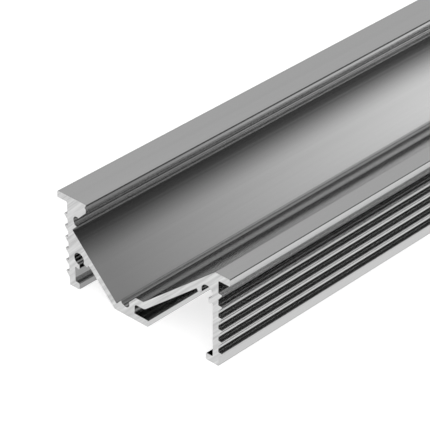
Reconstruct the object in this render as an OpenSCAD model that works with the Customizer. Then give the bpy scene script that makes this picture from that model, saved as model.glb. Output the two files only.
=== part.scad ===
// Extruded LED strip profile for a plastered-in light line.
// One aluminium section of constant shape, 1 m long: a 45 degree seat for the
// strip, bead grooves for a snap-in diffuser, a sloped reflector face, two
// toothed side walls, two flanges for the board and two screw channels.
// The section is drawn with X across and Y as height, then laid along Y.

/* [Overall] */
// Length of the piece of stock
length = 1000; // [100:10:3000]
// Width over both flanges
width = 44; // [42:0.5:60]
// Height from the feet to the top of the flanges
height = 20; // [19:0.5:26]

/* [Flanges and walls] */
// Thickness of both flanges
flange_t = 1.45; // [1:0.05:2]
// How far the left flange stands out from its wall
flange_reach_left = 2.55; // [1.5:0.05:6]
// How far the right flange stands out from its wall
flange_reach_right = 2.8; // [1.5:0.05:6]
// Width of the flat top of the right flange
flange_top_right = 3.6; // [2.9:0.05:5]
// Thickness of the left wall
wall_left = 1.6; // [1.2:0.05:2]
// Thickness of the right wall
wall_right = 1.4; // [1:0.05:2]
// Thickness of the two feet
foot_t = 1.5; // [1:0.05:2]
// How far the left foot stands in from its wall
foot_reach_left = 1.05; // [0.5:0.05:2]
// How far the right foot stands in from its wall
foot_reach_right = 1.7; // [0.5:0.05:3]
// Radius of the flanges' outer corners
flange_round = 0.25; // [0.05:0.05:0.5]
// Radius of the inside corners under the flanges and on the feet
root_round = 0.25; // [0.05:0.05:0.4]

/* [Strip seat] */
// Width of the flat seat for the LED strip
seat_w = 16.1; // [14:0.1:17]
// Angle of the seat below the horizontal
seat_tilt = 45; // [42:1:46]
// Wall behind the upper corner of the seat
seat_back = 1.2; // [0.9:0.05:2]
// Material under the lower corner of the seat
valley_t = 1.5; // [1:0.05:2]
// Thickness of the web that carries the seat
web_t = 1.4; // [1:0.05:2]
// Height of the rims beside the seat
rim_h = 1.7; // [1.2:0.05:1.9]
// Radius of the seat's inside corners
seat_round = 0.2; // [0.05:0.05:0.5]

/* [Diffuser grooves] */
// Diameter of the groove for the diffuser's bead
bead_d = 1.9; // [1.6:0.05:2.4]
// Height of the bead groove's centre over the seat
bead_h = 2.7; // [2.4:0.05:3]
// How far the bead groove's centre lies outside the seat
bead_in = 0.8; // [0.5:0.05:1]
// Diameter of the small relief under the bead groove
relief_d = 0.8; // [0.5:0.05:1]
// Height of the relief's centre over the seat
relief_h = 1.95; // [1.7:0.05:2.2]
// How far the relief's centre lies outside the seat
relief_in = 0.5; // [0.4:0.05:0.8]
// How far the mouth over the grooves is wider than the seat, on each side
mouth_step = 1.05; // [0.8:0.05:1.4]

/* [Left shoulder] */
// Width of the solid shoulder between the left wall and the mouth
shoulder_w = 5.05; // [4.6:0.05:5.5]
// How far the shoulder's top edge overhangs its inner face
lip_out = 0.15; // [0.05:0.05:0.4]
// Depth of the nick under the shoulder's top edge
nick_depth = 0.3; // [0.1:0.05:0.6]
// Depth of the nick's bottom below the top
nick_drop = 0.75; // [0.5:0.05:1]
// Height of the nick's lower side
nick_rise = 0.35; // [0.2:0.05:0.6]

/* [Reflector] */
// Height of the shelf at the foot of the reflector
shelf_h = 5.15; // [5:0.05:6]
// Thickness of the shelf
shelf_t = 1.55; // [1:0.05:2]
// Width of the shelf's flat top
shelf_w = 2; // [1:0.05:3]
// Wall between the lower bead groove and the hollow under the shelf
rib_t = 1.45; // [1:0.05:2]
// How much further in the rib's back starts at the base than at the shelf
rib_draft = 0.3; // [0.05:0.05:0.5]
// Thickness of the sloped reflector
slope_t = 1.35; // [1:0.05:2]
// Radius where the rib's back meets the shelf
shelf_round = 0.6; // [0.1:0.05:1]
// Radius under the shelf where the reflector begins
bend_round = 1.5; // [0.2:0.1:2]

/* [Base] */
// Thickness of the base plate
base_t = 1.5; // [1:0.05:2]
// How far the base plate runs past the rib
base_reach = 3.4; // [2:0.05:6]

/* [Screw channels] */
// Bore of both screw channels
screw_d = 2.6; // [2.2:0.1:3]
// Wall round both bores
boss_wall = 1.1; // [0.8:0.05:1.2]
// Material between the left bore and the outer face of the left wall
cover_left = 1.5; // [1.3:0.05:1.8]
// Material between the left bore and the seat's face
cover_seat = 1.7; // [1.5:0.05:2]
// Material between the right bore and the outer face of the right wall
cover_right = 1.55; // [1.3:0.05:1.8]
// Material between the right bore and the reflector's face
cover_slope = 1.25; // [1.2:0.05:1.6]
// Direction that the left channel's slot faces
slot_left = -57; // [-62:1:-52]
// Angle that the left slot takes out of the bore
slot_in_left = 64; // [40:1:70]
// Angle that the left slot takes out of the wall's outside
slot_out_left = 64; // [40:1:70]
// Direction that the right channel's slot faces
slot_right = -114; // [-118:1:-110]
// Angle that the right slot takes out of the bore
slot_in_right = 86; // [60:1:88]
// Angle that the right slot takes out of the wall's outside
slot_out_right = 62; // [40:1:80]
// Radius of the slots' outer edges
slot_round = 0.3; // [0.05:0.05:0.3]

/* [Key teeth] */
// Top edge of the first tooth below the top of the flanges
tooth_drop = 4.15; // [3:0.05:6]
// Distance from tooth to tooth
tooth_pitch = 2.56; // [1.8:0.02:4]
// How far a tooth stands out of its wall
tooth_depth = 0.82; // [0.3:0.02:1.4]
// Height of a tooth at its root
tooth_h = 1.32; // [0.8:0.02:1.6]
// Height of a tooth at its tip
tooth_tip = 0.3; // [0.1:0.02:0.6]
// Radius of a tooth's tip
tooth_round = 0.12; // [0.02:0.02:0.2]
// Radius between a tooth's top and the wall
tooth_root = 0.15; // [0.02:0.01:0.2]

/* [Hidden] */
$fn = 48;

// Angle that one straight piece of a rounded corner covers
arc_step = 12;

// How far the ends of a fillet reach into the faces that it joins
bite = 0.002;

// Outer and inner faces of the two walls
left_out = -width / 2 + flange_reach_left;
left_in = left_out + wall_left;
right_out = width / 2 - flange_reach_right;
right_in = right_out - wall_right;

// Upper corner of the seat, from which the whole trough is laid out
seat_x = left_out + seat_back;
seat_y = valley_t + seat_w * sin(seat_tilt);

// Point u along the seat from its upper corner and v out from its face
function trough(u, v) = [
    seat_x + u * cos(seat_tilt) + v * sin(seat_tilt),
    seat_y - u * sin(seat_tilt) + v * cos(seat_tilt)
];

// Inner face of the shoulder, and how far the mouth must be cleared to reach it
lip_x = left_out + shoulder_w;
mouth_h = (lip_x - seat_x + mouth_step * cos(seat_tilt)) / sin(seat_tilt) + nick_rise;

// Underside of the web: where it reaches the floor
web_end_x = trough(seat_w, 0).x - (web_t - valley_t * cos(seat_tilt)) / sin(seat_tilt);

// Back of the rib
rib_x = trough(seat_w + bead_in, bead_h).x + bead_d / 2 + rib_t;

// Top of the mouth's lower side, and the two ends of the reflector's face
mouth_v = (shelf_h - trough(seat_w + mouth_step, 0).y) / cos(seat_tilt);
mouth_x = trough(seat_w + mouth_step, mouth_v).x;
slope_low = [mouth_x + shelf_w, shelf_h];
slope_high = [width / 2 - flange_top_right, height];
slope_dir = (slope_high - slope_low) / norm(slope_high - slope_low);
slope_down = [slope_dir.y, -slope_dir.x];

// Point on the reflector's face, or below it by d, at a given x
function slope_at(x, d) =
    [x, slope_low.y + (x - slope_low.x) * slope_dir.y / slope_dir.x - d / slope_dir.x];

// Where the reflector's underside meets the underside of the shelf
shelf_under = shelf_h - shelf_t;
bend_x = slope_low.x + (slope_t / slope_dir.x - shelf_t) * slope_dir.x / slope_dir.y;

// Screw channels
screw_r = screw_d / 2;
boss_r = screw_r + boss_wall;
boss_left_x = left_out + cover_left + screw_r;
boss_left_v = cover_seat + screw_r;
boss_left_u = (boss_left_x - seat_x + boss_left_v * sin(seat_tilt)) / cos(seat_tilt);
boss_left = trough(boss_left_u, -boss_left_v);
boss_right = slope_at(right_out - cover_right - screw_r, cover_slope + screw_r);

// As many teeth as the wall takes
tooth_n = 1 + floor((height - tooth_drop - tooth_h) / tooth_pitch);

function unit(v) = v / norm(v);
function flat(p) = [p.x, p.y];
function polar(r, a) = r * [cos(a), sin(a)];
function reversed(list) = [for (i = [len(list) - 1:-1:0]) list[i]];
function cross2(a, b) = a.x * b.y - a.y * b.x;

// Points of an arc of radius r round c
function arc(c, r, start, sweep) =
    let (n = max(2, ceil(abs(sweep) / arc_step)))
    [for (i = [0:n]) c + polar(r, start + sweep * i / n)];

// Corner p between the points a and b, rounded by r
function corner(a, p, b, r) =
    let (
        u = unit(a - p),
        v = unit(b - p),
        half = acos(u * v) / 2,
        c = p + unit(u + v) * r / sin(half),
        from = p + u * r / tan(half) - c
    )
    arc(c, r, atan2(from.y, from.x), sign(cross2(v, u)) * (180 - 2 * half));

// Outline from points [x, y, radius], with 0 for a sharp corner
function rounded(points) =
    let (n = len(points))
    [
        for (i = [0:n - 1])
            let (p = points[i])
            each p[2] == 0
                ? [flat(p)]
                : corner(flat(points[(i + n - 1) % n]), flat(p), flat(points[(i + 1) % n]), p[2])
    ];

// Straight bar of the whole length with the given outline
module bar(outline) {
    linear_extrude(length, center = true) polygon(outline);
}

// Round bar or bore of the whole length
module rod(centre, d) {
    translate(centre) cylinder(h = length, d = d, center = true);
}

// Fillet of radius r in the inside corner p between faces that run along a and b
module fillet(p, a, b, r) {
    q = p - (a + b) * bite;
    bar(concat(corner(q + a, q, q + b, r), [q - (a + b) * r]));
}

// Flange over a wall; side is -1 on the left and 1 on the right
module flange(side, wall_x, inner_x) {
    tip_x = side * width / 2;
    bar(rounded([
        [inner_x, height, 0],
        [tip_x, height, flange_round],
        [tip_x, height - flange_t, flange_round / 2],
        [inner_x, height - flange_t, 0]
    ]));
    fillet([wall_x, height - flange_t], [side, 0], [0, -1], root_round);
}

// Wall with the foot inside it; side is 1 where the foot points to the right
module wall(side, outer_x, inner_x, reach, top) {
    tip_x = inner_x + side * reach;
    bar(rounded([
        [outer_x, 0, 0],
        [tip_x, 0, flange_round / 2],
        [tip_x, foot_t, flange_round],
        [inner_x, foot_t, root_round],
        [inner_x, top, 0],
        [outer_x, top, 0]
    ]));
}

// Row of teeth down a wall; side is -1 on the left and 1 on the right
module teeth(side, wall_x) {
    root_x = wall_x - side * tooth_depth;
    tip_x = wall_x + side * tooth_depth;
    for (i = [0:tooth_n - 1]) {
        top = height - tooth_drop - i * tooth_pitch;
        bar(rounded([
            [root_x, top, 0],
            [tip_x, top, tooth_round],
            [tip_x, top - tooth_tip, tooth_round],
            [wall_x, top - tooth_h, 0],
            [root_x, top - tooth_h, 0]
        ]));
        fillet([wall_x, top], [side, 0], [0, 1], tooth_root);
    }
}

// Solid shoulder between the left flange and the left screw channel
module shoulder() {
    bar([
        [left_out, height],
        [lip_x + lip_out, height],
        [lip_x - nick_depth, height - nick_drop],
        [lip_x, height - nick_drop - nick_rise],
        trough((lip_x - seat_x) / cos(seat_tilt), -web_t / 2),
        boss_left,
        [left_out, boss_left.y]
    ]);
}

// Web under the seat, down to the floor; the space over the seat is cut out of
// its top later
module web() {
    bar([
        trough(0, rim_h),
        trough(seat_w, rim_h),
        [trough(seat_w, 0).x, 0],
        [web_end_x, 0],
        trough(0, -web_t)
    ]);
}

// Rib beside the seat with the shelf on top of it; the space over the seat is
// cut out of its side later
module rib() {
    side_u = seat_w - rim_h;
    side_v = (shelf_h - trough(side_u, 0).y) / cos(seat_tilt);
    rib_back = slope_low + slope_t * slope_down;
    bar(rounded([
        [web_end_x, 0, 0],
        [rib_x - rib_draft, 0, 0],
        [rib_x, shelf_under, shelf_round],
        [bend_x, shelf_under, bend_round],
        [rib_back.x, rib_back.y, 0],
        [slope_low.x, shelf_h, 0],
        [trough(side_u, side_v).x, shelf_h, 0],
        concat(trough(side_u, 0), 0)
    ]));
}

// Base plate from the web past the rib
module base_plate() {
    bar(rounded([
        [web_end_x, 0, 0],
        [rib_x + base_reach, 0, flange_round],
        [rib_x + base_reach, base_t, flange_round / 2],
        [trough(seat_w, 0).x, base_t, 0]
    ]));
}

// Space over the seat: the seat's pocket, the bead grooves and the mouth
module trough_space() {
    translate(trough(0, 0)) rotate(-seat_tilt) {
        bar(rounded([
            [0, 0, seat_round],
            [seat_w, 0, seat_round],
            [seat_w, mouth_h, 0],
            [0, mouth_h, 0]
        ]));
        side_cut(relief_in, rim_h);
        side_cut(mouth_step, bead_h);
        for (x = [-bead_in, seat_w + bead_in]) rod([x, bead_h], bead_d);
        for (x = [-relief_in, seat_w + relief_in]) rod([x, relief_h], relief_d);
    }
}

// Widening of the space over the seat, from a height upwards
module side_cut(step, from_h) {
    bar([
        [-step, from_h],
        [seat_w + step, from_h],
        [seat_w + step, mouth_h],
        [-step, mouth_h]
    ]);
}

// Half of a slot's outline, from the bore outwards: the edge leaves the bore at
// angle a and would reach the channel's outside at angle b, but is rounded
// there; side is 1 where the channel's wall lies at greater angles
function slot_edge(a, b, side) =
    let (
        from = polar(screw_r, a),
        e = unit(polar(boss_r, b) - from),
        m = side * [-e.y, e.x],
        q = from + slot_round * m,
        s = sqrt(pow(q * e, 2) - q * q + pow(boss_r + bite - slot_round, 2)) - q * e,
        c = q + s * e,
        start = atan2(-m.y, -m.x),
        sweep = acos(-m * unit(c))
    )
    concat(
        [from - e * screw_r / 2],
        arc(c, slot_round, start, side * sweep),
        [2 * boss_r * unit(c)]
    );

// Wall round a screw channel, open over the slot
module boss(centre, slot, slot_in, slot_out) {
    difference() {
        rod(centre, 2 * boss_r);
        translate(centre) bar(concat(
            slot_edge(slot + slot_in / 2, slot + slot_out / 2, 1),
            reversed(slot_edge(slot - slot_in / 2, slot - slot_out / 2, -1))
        ));
    }
}

// Fillet where a screw channel's wall runs into a flat face: n points from the
// bore to the face, d away, and a points along the face away from the channel
module boss_root(centre, n, d, a) {
    up = d + bite - root_round;
    c = n * up + a * sqrt(pow(boss_r - bite + root_round, 2) - up * up);
    turn = sign(cross2(a, n));
    translate(centre) bar(concat(
        [n * (d + root_round)],
        arc(c, root_round, atan2(n.y, n.x), turn * acos(-n * unit(c))),
        [[0, 0]]
    ));
}

// Both channel walls with their fillets
module bosses() {
    boss(boss_left, slot_left, slot_in_left, slot_out_left);
    boss_root(boss_left, [-1, 0], cover_left + screw_r - wall_left, [0, -1]);
    boss_root(
        boss_left,
        [sin(seat_tilt), cos(seat_tilt)],
        boss_left_v - web_t,
        [cos(seat_tilt), -sin(seat_tilt)]
    );
    boss(boss_right, slot_right, slot_in_right, slot_out_right);
    boss_root(boss_right, [1, 0], cover_right + screw_r - wall_right, [0, -1]);
    boss_root(boss_right, -slope_down, cover_slope + screw_r - slope_t, -slope_dir);
}

// Sloped reflector
module reflector() {
    bar([
        slope_low,
        slope_high,
        slope_high + slope_t * slope_down,
        slope_low + slope_t * slope_down
    ]);
}

// Solid corner between the reflector, the right screw channel and the right wall
module right_corner() {
    bar([
        boss_right,
        [right_out, boss_right.y],
        [right_out, height],
        slope_high,
        slope_at(boss_right.x - boss_r, slope_t / 2)
    ]);
}

module profile() {
    color([0.78, 0.79, 0.8]) rotate([90, 0, 0]) difference() {
        union() {
            difference() {
                union() {
                    shoulder();
                    web();
                    rib();
                    base_plate();
                    wall(1, left_out, left_in, foot_reach_left, height);
                    flange(-1, left_out, left_in);
                }
                trough_space();
            }
            wall(-1, right_out, right_in, foot_reach_right, boss_right.y);
            flange(1, right_out, slope_high.x);
            reflector();
            right_corner();
            teeth(-1, left_out);
            teeth(1, right_out);
            bosses();
        }
        rod(boss_left, screw_d);
        rod(boss_right, screw_d);
    }
}

profile();
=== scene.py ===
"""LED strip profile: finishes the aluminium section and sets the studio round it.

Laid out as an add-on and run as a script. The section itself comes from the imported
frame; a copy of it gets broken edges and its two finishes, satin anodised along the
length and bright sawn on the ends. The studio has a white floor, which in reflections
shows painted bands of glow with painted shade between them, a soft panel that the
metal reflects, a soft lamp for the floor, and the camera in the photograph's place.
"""

import math

import bpy
from bpy.props import FloatProperty, FloatVectorProperty, IntProperty, PointerProperty
from mathutils import Matrix, Vector


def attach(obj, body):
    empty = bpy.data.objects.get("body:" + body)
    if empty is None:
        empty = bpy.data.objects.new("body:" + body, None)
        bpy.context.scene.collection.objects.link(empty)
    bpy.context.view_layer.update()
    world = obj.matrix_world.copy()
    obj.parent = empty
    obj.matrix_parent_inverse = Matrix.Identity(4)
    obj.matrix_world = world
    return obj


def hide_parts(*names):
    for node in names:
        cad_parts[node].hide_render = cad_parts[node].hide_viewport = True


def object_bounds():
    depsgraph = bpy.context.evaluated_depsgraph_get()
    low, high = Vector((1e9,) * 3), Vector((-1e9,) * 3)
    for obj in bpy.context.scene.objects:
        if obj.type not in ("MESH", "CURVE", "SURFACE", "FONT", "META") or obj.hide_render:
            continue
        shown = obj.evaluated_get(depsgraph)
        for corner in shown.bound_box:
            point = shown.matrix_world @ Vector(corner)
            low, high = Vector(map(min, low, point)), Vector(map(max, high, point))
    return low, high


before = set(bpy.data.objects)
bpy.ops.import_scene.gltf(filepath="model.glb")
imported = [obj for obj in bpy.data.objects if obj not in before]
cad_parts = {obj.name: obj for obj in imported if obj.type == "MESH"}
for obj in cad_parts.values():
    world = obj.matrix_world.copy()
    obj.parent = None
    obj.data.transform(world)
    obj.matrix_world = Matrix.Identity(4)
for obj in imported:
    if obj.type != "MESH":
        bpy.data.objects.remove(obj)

bl_info = {
    "name": "LED strip profile",
    "version": (1, 0, 0),
    "blender": (4, 5, 0),
    "location": "3D View > Sidebar > LED profile",
    "description": "Finishes an extruded LED strip profile and sets the studio round it",
    "category": "Object",
}

NODE = "profile"
PIECE = "led_strip_profile"
MM = 0.001
CAD_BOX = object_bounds()

# Merging and shading the copy of the section. Its arcs turn less than the smooth angle
# from face to face, and its real edges more. Shading normals follow the larger face.
MERGE_DISTANCE = 0.0005 * MM
FLAT_ANGLE = math.radians(1)
SMOOTH_ANGLE = math.radians(24)
LARGE_FACE_WEIGHT = 100

# A face is sawn when it lies this near to an end and its normal points this much along
END_DEPTH = 0.01 * MM
END_FACING = 0.9

# Noise in the materials: the part of its range that is used, its detail and roughness,
# how much wider the broad die lines are, and how much the saw marks change the roughness
NOISE_LOW, NOISE_HIGH = 0.3, 0.7
FINE_DETAIL, BROAD_DETAIL, MARK_DETAIL = 4, 2, 5
LINE_NOISE, MARK_NOISE = 0.6, 0.55
BROAD_LINES = 12
MARK_ROUGHNESS_SPREAD = 0.05

# Floor. In reflections it is dark, a painted shade, but for some bands of painted glow that
# only reflections see: where each starts, is full, is full until and ends, in mm across
# the profile, and its brightness. This painted glow lies beyond the profile's two ends too.
FLOOR_SIZE = 12
FLOOR_SHADE = 0.9
FLOOR_ROUGHNESS = 0.9
FLOOR_SPECULAR = 0.1
FLOOR_GLOW = 0.7
OUTSIDE = 7000
PAINTED_FLOOR_BANDS = (
    (-OUTSIDE, 1 - OUTSIDE, -19.4, -19, 0.74),
    (-18, -17.5, -13, -11.5, 0.4),
    (1.2, 1.4, 3, 3.5, 0.75),
    (19, 19.4, 31, 32, 0.74),
    (39.5, 40.5, OUTSIDE - 1, OUTSIDE, 0.74),
)
FLOOR_END_START, FLOOR_END_FULL, FLOOR_END_GLOW = 499 * MM, 500 * MM, 0.85

# Soft panel: its distance from the profile's axis and tilt, its edges across and along,
# and where its glow starts and is full at its foot, at its upper edge and along it
PANEL_AWAY = 60 * MM
PANEL_TILT = math.radians(48)
PANEL_LOW, PANEL_HIGH = -6 * MM, 24 * MM
PANEL_NEAR, PANEL_FAR = -600 * MM, -200 * MM
PANEL_FOOT = (0, 3 * MM)
PANEL_TOP = (22.5 * MM, 13 * MM)
PANEL_ALONG = (-452 * MM, -345 * MM)
PANEL_GLOW = (0.24, 0.74)

# Lamp: its diameter, its place and the point it faces
LAMP_SIZE = 1.2
LAMP_PLACE = Vector((0.7, -1.3, 1.2))
LAMP_AIM = Vector((0, -0.45, 0))

# Surroundings: brightness behind and in front of the profile, where one turns into the
# other, and round light cards: direction, inner and outer angle, brightness
SKY_BEHIND, SKY_FRONT, SKY_WHITE = 0.025, 0.5, 1.0
SKY_TURN = (0.45, 0.15)
SKY_CARDS = (
    ((-0.10, 0.62, 0.78), math.radians(10), math.radians(22), 0.22),
    ((-0.60, 0.60, 0.53), math.radians(20), math.radians(34), 0.45),
)

# Camera: its sensor and clipping, and how far in from the profile's side the rounding of
# the corner that it is set by starts
SENSOR_WIDTH = 36
CLIP_START, CLIP_END = 0.01, 20
CORNER_INSET = 0.24 * MM


# Sizes and colours that a user would change


class EdgeSettings(bpy.types.PropertyGroup):
    """How the edges of the section are broken."""

    width: FloatProperty(
        name="Edge break",
        description="Width of the small bevel on every edge",
        default=0.02 * MM,
        min=0.01 * MM,
        max=0.1 * MM,
        subtype="DISTANCE",
        unit="LENGTH",
    )
    segments: IntProperty(
        name="Segments",
        description="Faces across the small bevel",
        default=2,
        min=1,
        max=3,
    )
    angle: FloatProperty(
        name="Edge angle",
        description="Edges that turn more than this are broken",
        default=math.radians(28),
        subtype="ANGLE",
    )


class AnodisedSettings(bpy.types.PropertyGroup):
    """Satin anodised skin of the extruded faces."""

    colour: FloatVectorProperty(
        name="Colour",
        description="Colour of the anodised aluminium",
        subtype="COLOR",
        size=3,
        default=(0.80, 0.80, 0.80),
        min=0,
        max=1,
    )
    colour_spread: FloatProperty(
        name="Colour spread",
        description="How much the die lines change the colour",
        default=0.05,
        min=0,
        max=0.5,
        subtype="FACTOR",
    )
    roughness: FloatProperty(
        name="Roughness",
        description="Roughness of the satin skin",
        default=0.10,
        min=0,
        max=1,
        subtype="FACTOR",
    )
    roughness_spread: FloatProperty(
        name="Roughness spread",
        description="How much the die lines change the roughness",
        default=0.03,
        min=0,
        max=0.5,
        subtype="FACTOR",
    )
    line_spacing: FloatProperty(
        name="Die line spacing",
        description="Usual distance between two die lines across the section",
        default=0.25 * MM,
        subtype="DISTANCE",
        unit="LENGTH",
    )
    line_length: FloatProperty(
        name="Die line length",
        description="Distance along the profile over which a die line changes",
        default=0.4,
        subtype="DISTANCE",
        unit="LENGTH",
    )
    line_depth: FloatProperty(
        name="Die line depth",
        description="Depth of the die lines",
        default=0.00025 * MM,
        subtype="DISTANCE",
        unit="LENGTH",
    )


class SawnSettings(bpy.types.PropertyGroup):
    """Bright sawn face of the two ends."""

    colour: FloatVectorProperty(
        name="Colour",
        description="Colour of the freshly cut aluminium",
        subtype="COLOR",
        size=3,
        default=(0.94, 0.94, 0.94),
        min=0,
        max=1,
    )
    colour_spread: FloatProperty(
        name="Colour spread",
        description="How much darker the deepest saw marks are",
        default=0.32,
        min=0,
        max=0.5,
        subtype="FACTOR",
    )
    roughness: FloatProperty(
        name="Roughness",
        description="Roughness of the sawn face",
        default=0.45,
        min=0,
        max=1,
        subtype="FACTOR",
    )
    mark_spacing: FloatProperty(
        name="Saw mark spacing",
        description="Usual distance between two saw marks",
        default=0.45 * MM,
        subtype="DISTANCE",
        unit="LENGTH",
    )
    mark_length: FloatProperty(
        name="Saw mark length",
        description="Usual length of a saw mark",
        default=14 * MM,
        subtype="DISTANCE",
        unit="LENGTH",
    )
    mark_angle: FloatProperty(
        name="Saw mark angle",
        description="Direction of the saw marks above the horizontal",
        default=math.radians(45),
        subtype="ANGLE",
    )
    mark_depth: FloatProperty(
        name="Saw mark depth",
        description="Depth of the saw marks",
        default=0.012 * MM,
        subtype="DISTANCE",
        unit="LENGTH",
    )


class StudioSettings(bpy.types.PropertyGroup):
    """Camera, lamp and surroundings."""

    azimuth: FloatProperty(
        name="Azimuth",
        description="Direction of the camera round the profile",
        default=math.radians(43.17),
        subtype="ANGLE",
    )
    elevation: FloatProperty(
        name="Elevation",
        description="Height of the camera above the horizon",
        default=math.radians(32.27),
        subtype="ANGLE",
    )
    lens: FloatProperty(
        name="Lens",
        description="Focal length of the camera",
        default=203.7,
        unit="CAMERA",
    )
    distance: FloatProperty(
        name="Distance",
        description="Depth of the near upper left corner in front of the camera",
        default=0.4535,
        subtype="DISTANCE",
        unit="LENGTH",
    )
    corner_x: FloatProperty(
        name="Corner across",
        description="Place of that corner across the picture, from the middle",
        default=-0.3653,
    )
    corner_z: FloatProperty(
        name="Corner up",
        description="Place of that corner up the picture, from the middle",
        default=0.0565,
    )
    lamp_power: FloatProperty(
        name="Lamp",
        description="Power of the soft lamp",
        default=4.0,
        unit="POWER",
    )


# Nodes


def map_range(tree, value, start, end, low=0, high=1, smooth=False):
    """Maps start to end onto low to high, and holds at both."""
    node = tree.nodes.new("ShaderNodeMapRange")
    if smooth:
        node.interpolation_type = "SMOOTHSTEP"
    node.inputs["From Min"].default_value = start
    node.inputs["From Max"].default_value = end
    node.inputs["To Min"].default_value = low
    node.inputs["To Max"].default_value = high
    tree.links.new(value, node.inputs["Value"])
    return node.outputs["Result"]


def combine(tree, operation, first, second=None):
    """Result of one Math node."""
    node = tree.nodes.new("ShaderNodeMath")
    node.operation = operation
    tree.links.new(first, node.inputs[0])
    if second is not None:
        tree.links.new(second, node.inputs[1])
    return node.outputs[0]


def measure_along(tree, place, direction):
    """How far a place lies along a direction."""
    node = tree.nodes.new("ShaderNodeVectorMath")
    node.operation = "DOT_PRODUCT"
    node.inputs[1].default_value = direction
    tree.links.new(place, node.inputs[0])
    return node.outputs["Value"]


def separate(tree, place):
    """X, Y and Z of a place."""
    node = tree.nodes.new("ShaderNodeSeparateXYZ")
    tree.links.new(place, node.inputs[0])
    return node.outputs


def coordinates(tree, kind):
    """Texture coordinates of one kind."""
    return tree.nodes.new("ShaderNodeTexCoord").outputs[kind]


def streaks(tree, size, turn, detail, roughness):
    """Noise on Object coordinates, drawn out to a size; turn is the Mapping node's rotation."""
    mapping = tree.nodes.new("ShaderNodeMapping")
    mapping.vector_type = "TEXTURE"
    mapping.inputs["Rotation"].default_value = turn
    mapping.inputs["Scale"].default_value = size
    noise = tree.nodes.new("ShaderNodeTexNoise")
    noise.inputs["Scale"].default_value = 1
    noise.inputs["Detail"].default_value = detail
    noise.inputs["Roughness"].default_value = roughness
    tree.links.new(coordinates(tree, "Object"), mapping.inputs["Vector"])
    tree.links.new(mapping.outputs["Vector"], noise.inputs["Vector"])
    return noise.outputs["Fac"]


def spread(tree, noise, low, high):
    """Maps the middle of a noise onto low to high."""
    return map_range(tree, noise, NOISE_LOW, NOISE_HIGH, low, high)


def shade_between(tree, factor, colour, darker):
    """Colour that a factor takes from a darker shade to the given colour."""
    mix = tree.nodes.new("ShaderNodeMix")
    mix.data_type = "RGBA"
    mix.inputs["A"].default_value = (*(c * (1 - darker) for c in colour), 1)
    mix.inputs["B"].default_value = (*colour, 1)
    tree.links.new(factor, mix.inputs["Factor"])
    return mix.outputs["Result"]


def bump(tree, height, depth):
    """Bump of a real depth in metres."""
    node = tree.nodes.new("ShaderNodeBump")
    node.inputs["Strength"].default_value = 1
    node.inputs["Distance"].default_value = depth
    tree.links.new(height, node.inputs["Height"])
    return node.outputs["Normal"]


# Materials


def new_material(name):
    """A material with its own empty tree, and its Principled shader."""
    material = bpy.data.materials.new(name)
    material.use_nodes = True
    tree = material.node_tree
    tree.nodes.clear()
    output = tree.nodes.new("ShaderNodeOutputMaterial")
    shader = tree.nodes.new("ShaderNodeBsdfPrincipled")
    tree.links.new(shader.outputs["BSDF"], output.inputs["Surface"])
    return material, tree, shader


def add_glow(tree, surface, strength):
    """Shows a surface shader with a white glow added to it."""
    glow = tree.nodes.new("ShaderNodeEmission")
    glow.inputs["Color"].default_value = (1, 1, 1, 1)
    add = tree.nodes.new("ShaderNodeAddShader")
    tree.links.new(strength, glow.inputs["Strength"])
    tree.links.new(surface.outputs[0], add.inputs[0])
    tree.links.new(glow.outputs[0], add.inputs[1])
    tree.links.new(add.outputs[0], tree.nodes["Material Output"].inputs["Surface"])


def finish_metal(tree, shader, colour, roughness, normal):
    """Gives a shader a metal's colour, roughness and bump."""
    tree.links.new(colour, shader.inputs["Base Color"])
    tree.links.new(roughness, shader.inputs["Roughness"])
    tree.links.new(normal, shader.inputs["Normal"])
    shader.inputs["Metallic"].default_value = 1


def anodised_aluminium(s):
    """Satin grey skin with fine lines along the profile."""
    material, tree, shader = new_material("satin_anodised_aluminium")

    def lines(spacing, detail):
        return streaks(tree, (spacing, s.line_length, spacing), (0, 0, 0), detail, LINE_NOISE)

    fine = lines(s.line_spacing, FINE_DETAIL)
    broad = lines(BROAD_LINES * s.line_spacing, BROAD_DETAIL)
    low, high = s.roughness - s.roughness_spread, s.roughness + s.roughness_spread
    finish_metal(
        tree,
        shader,
        shade_between(tree, spread(tree, broad, 0, 1), s.colour, s.colour_spread),
        spread(tree, fine, low, high),
        bump(tree, fine, s.line_depth),
    )
    return material


def sawn_aluminium(s):
    """Bright cut face with slanted saw marks, rougher where they are darker."""
    material, tree, shader = new_material("sawn_aluminium")
    size = (s.mark_length, s.mark_spacing, s.mark_spacing)
    marks = streaks(tree, size, (0, -s.mark_angle, 0), MARK_DETAIL, MARK_NOISE)
    low, high = s.roughness - MARK_ROUGHNESS_SPREAD, s.roughness + MARK_ROUGHNESS_SPREAD
    finish_metal(
        tree,
        shader,
        shade_between(tree, spread(tree, marks, 0, 1), s.colour, s.colour_spread),
        spread(tree, marks, high, low),
        bump(tree, marks, s.mark_depth),
    )
    return material


# Operators


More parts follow.
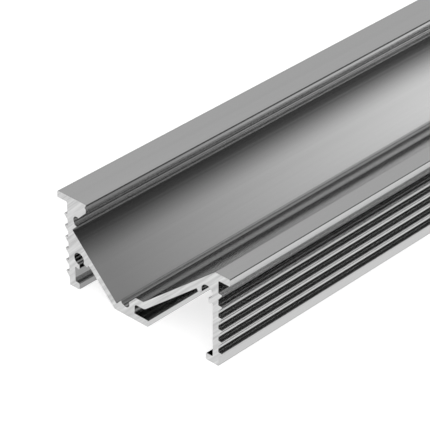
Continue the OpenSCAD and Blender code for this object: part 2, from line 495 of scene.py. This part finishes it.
class LEDPROFILE_OT_section(bpy.types.Operator):
    """Copy the section, merge it, break its edges and give it its two finishes"""

    bl_idname = "ledprofile.section"
    bl_label = "Section"

    def execute(self, context):
        edges = context.scene.ledprofile_edges
        bpy.ops.object.select_all(action="DESELECT")
        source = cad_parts[NODE]
        piece = source.copy()
        piece.data = source.data.copy()
        piece.parent = None
        for key in [k for k in piece.keys() if k.startswith("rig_")]:
            del piece[key]
        piece.name = PIECE
        piece.data.name = PIECE
        context.scene.collection.objects.link(piece)
        context.view_layer.objects.active = piece
        piece.select_set(True)

        bpy.ops.object.mode_set(mode="EDIT")
        bpy.ops.mesh.select_all(action="SELECT")
        bpy.ops.mesh.remove_doubles(threshold=MERGE_DISTANCE)
        bpy.ops.mesh.dissolve_limited(angle_limit=FLAT_ANGLE, use_dissolve_boundaries=False)
        bpy.ops.object.mode_set(mode="OBJECT")

        bevel = piece.modifiers.new("broken_edges", "BEVEL")
        bevel.width = edges.width
        bevel.segments = edges.segments
        bevel.limit_method = "ANGLE"
        bevel.angle_limit = edges.angle
        bevel.use_clamp_overlap = False
        bpy.ops.object.modifier_apply(modifier=bevel.name)
        bpy.ops.object.shade_smooth_by_angle(angle=SMOOTH_ANGLE)
        flat = piece.modifiers.new("flat_faces", "WEIGHTED_NORMAL")
        flat.weight = LARGE_FACE_WEIGHT
        flat.keep_sharp = True
        bpy.ops.object.modifier_apply(modifier=flat.name)

        piece.data.materials.clear()
        piece.data.materials.append(anodised_aluminium(context.scene.ledprofile_anodised))
        piece.data.materials.append(sawn_aluminium(context.scene.ledprofile_sawn))
        end = CAD_BOX[1].y - END_DEPTH
        for face in piece.data.polygons:
            sawn = abs(face.center.y) > end and abs(face.normal.y) > END_FACING
            face.material_index = int(sawn)

        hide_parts(NODE)
        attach(piece, "root")
        return {"FINISHED"}


class LEDPROFILE_OT_studio(bpy.types.Operator):
    """Set the floor, the soft panel, the lamp, the surroundings and the camera"""

    bl_idname = "ledprofile.studio"
    bl_label = "Studio"

    def execute(self, context):
        s = context.scene.ledprofile_studio
        self.floor()
        self.softbox()
        self.lamp(s)
        self.world(context)
        self.camera(context, s)
        context.scene.view_settings.view_transform = "Standard"
        return {"FINISHED"}

    def floor(self):
        """White plane; in reflections it shows only bands of painted glow, with painted shade
        elsewhere.
        """
        bpy.ops.object.select_all(action="DESELECT")
        bpy.ops.mesh.primitive_plane_add(size=FLOOR_SIZE, location=(0, 0, 0))
        floor = bpy.context.object
        floor.name = "floor"
        material, tree, shader = new_material("pale_floor")
        path = tree.nodes.new("ShaderNodeLightPath").outputs
        # Painted shade: in reflections the floor has no colour of its own, only its painted
        # glow.
        shade = map_range(tree, path["Is Glossy Ray"], 0, 1, FLOOR_SHADE, 0)
        tree.links.new(shade, shader.inputs["Base Color"])
        shader.inputs["Roughness"].default_value = FLOOR_ROUGHNESS
        shader.inputs["Specular IOR Level"].default_value = FLOOR_SPECULAR
        # Painted reflection: glow in bands across the floor that only glossy rays see.
        painted_reflection = combine(tree, "MULTIPLY", path["Is Glossy Ray"], self.painted_floor_glow(tree))
        white = map_range(tree, path["Is Camera Ray"], 0, 1, 0, FLOOR_GLOW)
        add_glow(tree, shader, combine(tree, "ADD", painted_reflection, white))
        floor.data.materials.append(material)

    def painted_floor_glow(self, tree):
        """Painted glow of the floor that only reflections see, in bands, with painted shade
        between them.
        """
        place = separate(tree, coordinates(tree, "Object"))
        length = combine(tree, "ABSOLUTE", place["Y"])
        bright = map_range(tree, length, FLOOR_END_START, FLOOR_END_FULL, 0, FLOOR_END_GLOW)
        for start, full, full_until, end, level in PAINTED_FLOOR_BANDS:
            rise = map_range(tree, place["X"], start * MM, full * MM, 0, level)
            fall = map_range(tree, place["X"], end * MM, full_until * MM, 0, level)
            bright = combine(tree, "MAXIMUM", bright, combine(tree, "MINIMUM", rise, fall))
        return bright

    def softbox(self):
        """Clear panel over the right side whose soft glow the camera doesn't see."""
        bpy.ops.object.select_all(action="DESELECT")
        bpy.ops.mesh.primitive_plane_add(size=1, location=(0, 0, 0))
        panel = bpy.context.object
        panel.name = "softbox"
        ahead = Vector((math.cos(PANEL_TILT), 0, math.sin(PANEL_TILT)))
        across = Vector((-math.sin(PANEL_TILT), 0, math.cos(PANEL_TILT)))
        for vertex in panel.data.vertices:
            side = PANEL_HIGH if vertex.co.x > 0 else PANEL_LOW
            length = PANEL_FAR if vertex.co.y > 0 else PANEL_NEAR
            vertex.co = ahead * PANEL_AWAY + across * side + Vector((0, length, 0))

        material, tree, shader = new_material("softbox")
        tree.nodes.remove(shader)
        place = coordinates(tree, "Object")
        height = measure_along(tree, place, across)
        top = map_range(tree, height, *PANEL_TOP, smooth=True)
        foot = map_range(tree, height, *PANEL_FOOT, smooth=True)
        along = map_range(tree, separate(tree, place)["Y"], *PANEL_ALONG, *PANEL_GLOW)
        strength = combine(tree, "MULTIPLY", combine(tree, "MULTIPLY", top, foot), along)
        add_glow(tree, tree.nodes.new("ShaderNodeBsdfTransparent"), strength)
        panel.data.materials.append(material)
        panel.visible_camera = False
        panel.visible_shadow = False

    def lamp(self, s):
        """Soft round lamp for the floor and the shade on it; the metal doesn't reflect it."""
        data = bpy.data.lights.new("soft_lamp", "AREA")
        data.shape = "DISK"
        data.size = LAMP_SIZE
        data.energy = s.lamp_power
        lamp = bpy.data.objects.new("soft_lamp", data)
        bpy.context.scene.collection.objects.link(lamp)
        turn = (LAMP_PLACE - LAMP_AIM).to_track_quat("Z", "Y").to_matrix().to_4x4()
        lamp.matrix_world = Matrix.Translation(LAMP_PLACE) @ turn
        lamp.visible_glossy = False

    def world(self, context):
        """Dark behind the profile, light in front of it, with two cards, white to the camera."""
        world = bpy.data.worlds.new("studio")
        context.scene.world = world
        world.use_nodes = True
        tree = world.node_tree
        tree.nodes.clear()
        output = tree.nodes.new("ShaderNodeOutputWorld")
        back = tree.nodes.new("ShaderNodeBackground")
        tree.links.new(back.outputs[0], output.inputs[0])
        sky = coordinates(tree, "Generated")

        def over(base, factor, value):
            """Lays an even grey over a base where the factor is 1."""
            mix = tree.nodes.new("ShaderNodeMix")
            mix.data_type = "RGBA"
            tree.links.new(factor, mix.inputs["Factor"])
            if isinstance(base, float):
                mix.inputs["A"].default_value = (base, base, base, 1)
            else:
                tree.links.new(base, mix.inputs["A"])
            mix.inputs["B"].default_value = (value, value, value, 1)
            return mix.outputs["Result"]

        front = map_range(tree, separate(tree, sky)["Y"], *SKY_TURN, smooth=True)
        look = over(SKY_BEHIND, front, SKY_FRONT)
        for direction, inner, outer, level in SKY_CARDS:
            facing = measure_along(tree, sky, Vector(direction).normalized())
            card = map_range(tree, facing, math.cos(outer), math.cos(inner), smooth=True)
            look = over(look, card, level)
        path = tree.nodes.new("ShaderNodeLightPath")
        look = over(look, path.outputs["Is Camera Ray"], SKY_WHITE)
        tree.links.new(look, back.inputs["Color"])

    def camera(self, context, s):
        """Camera placed so that the near upper left corner is where the photograph has it."""
        az, el = s.azimuth, s.elevation
        right = Vector((math.cos(az), math.sin(az), 0))
        level = Vector((-math.sin(az), math.cos(az), 0))
        ahead = level * math.cos(el) - Vector((0, 0, math.sin(el)))
        up = right.cross(ahead)
        data = bpy.data.cameras.new("camera")
        data.lens = s.lens
        data.sensor_width = SENSOR_WIDTH
        data.clip_start = CLIP_START
        data.clip_end = CLIP_END
        picture = s.distance * data.sensor_width / data.lens
        corner = Vector((CAD_BOX[0].x + CORNER_INSET, CAD_BOX[0].y, CAD_BOX[1].z))
        shift = right * s.corner_x * picture + up * s.corner_z * picture
        place = corner - ahead * s.distance - shift
        camera = bpy.data.objects.new("camera", data)
        context.scene.collection.objects.link(camera)
        turn = Matrix((right, up, -ahead)).transposed().to_4x4()
        camera.matrix_world = Matrix.Translation(place) @ turn
        context.scene.camera = camera


class LEDPROFILE_PT_panel(bpy.types.Panel):
    """Sizes and colours of the LED profile"""

    bl_idname = "LEDPROFILE_PT_panel"
    bl_label = "LED profile"
    bl_space_type = "VIEW_3D"
    bl_region_type = "UI"
    bl_category = "LED profile"

    def draw(self, context):
        scene = context.scene
        finish = (scene.ledprofile_edges, scene.ledprofile_anodised, scene.ledprofile_sawn)
        groups = (
            (LEDPROFILE_OT_section, finish),
            (LEDPROFILE_OT_studio, (scene.ledprofile_studio,)),
        )
        for operator, settings in groups:
            box = self.layout.box()
            for group in settings:
                for name in group.__annotations__:
                    box.prop(group, name)
            box.operator(operator.bl_idname)


SETTINGS = {
    "ledprofile_edges": EdgeSettings,
    "ledprofile_anodised": AnodisedSettings,
    "ledprofile_sawn": SawnSettings,
    "ledprofile_studio": StudioSettings,
}
CLASSES = (
    *SETTINGS.values(),
    LEDPROFILE_OT_section,
    LEDPROFILE_OT_studio,
    LEDPROFILE_PT_panel,
)


def register():
    for cls in CLASSES:
        bpy.utils.register_class(cls)
    for name, group in SETTINGS.items():
        setattr(bpy.types.Scene, name, PointerProperty(type=group))


def unregister():
    for name in SETTINGS:
        delattr(bpy.types.Scene, name)
    for cls in reversed(CLASSES):
        bpy.utils.unregister_class(cls)


def main():
    register()
    bpy.ops.ledprofile.section()
    bpy.ops.ledprofile.studio()


if __name__ == "__main__":
    main()
